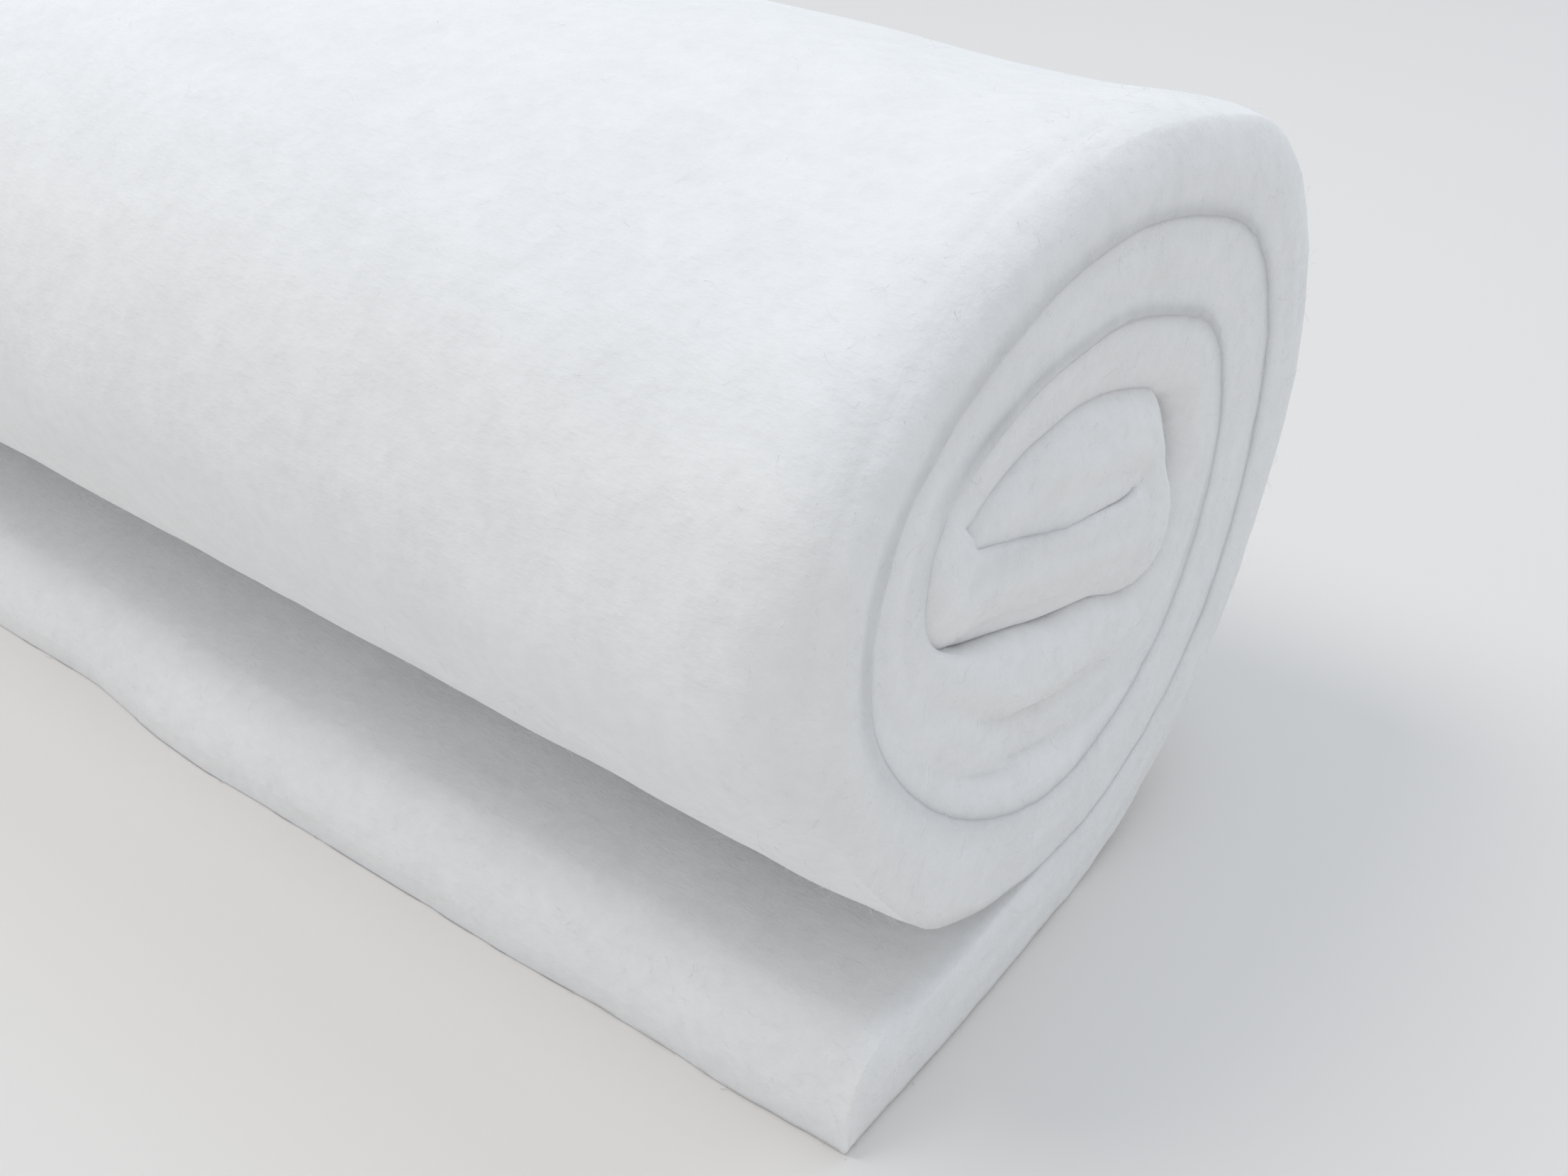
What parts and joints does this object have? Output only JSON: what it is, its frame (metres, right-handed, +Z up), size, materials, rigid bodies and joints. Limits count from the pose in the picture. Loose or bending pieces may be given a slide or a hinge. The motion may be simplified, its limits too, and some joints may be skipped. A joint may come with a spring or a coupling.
{
  "type": "roll of upholstery wadding",
  "caption": "Soft white polyester wadding for filling upholstery, loosely wound into a roll round its folded inner end, lying on its own loose outer end.",
  "frame": {"origin": "middle of the footprint, on the floor the roll lies on", "axes": "+X along the roll towards the end seen in the picture, +Y to the back, away from the loose outer end, +Z up"},
  "size_m": [0.6906, 0.2274, 0.2034],
  "materials": {
    "wadding": "matt bonded polyester fibre, slightly fuzzy"
  },
  "bodies": {
    "root": {"wadding": "wadding"}
  },
  "joints": []
}
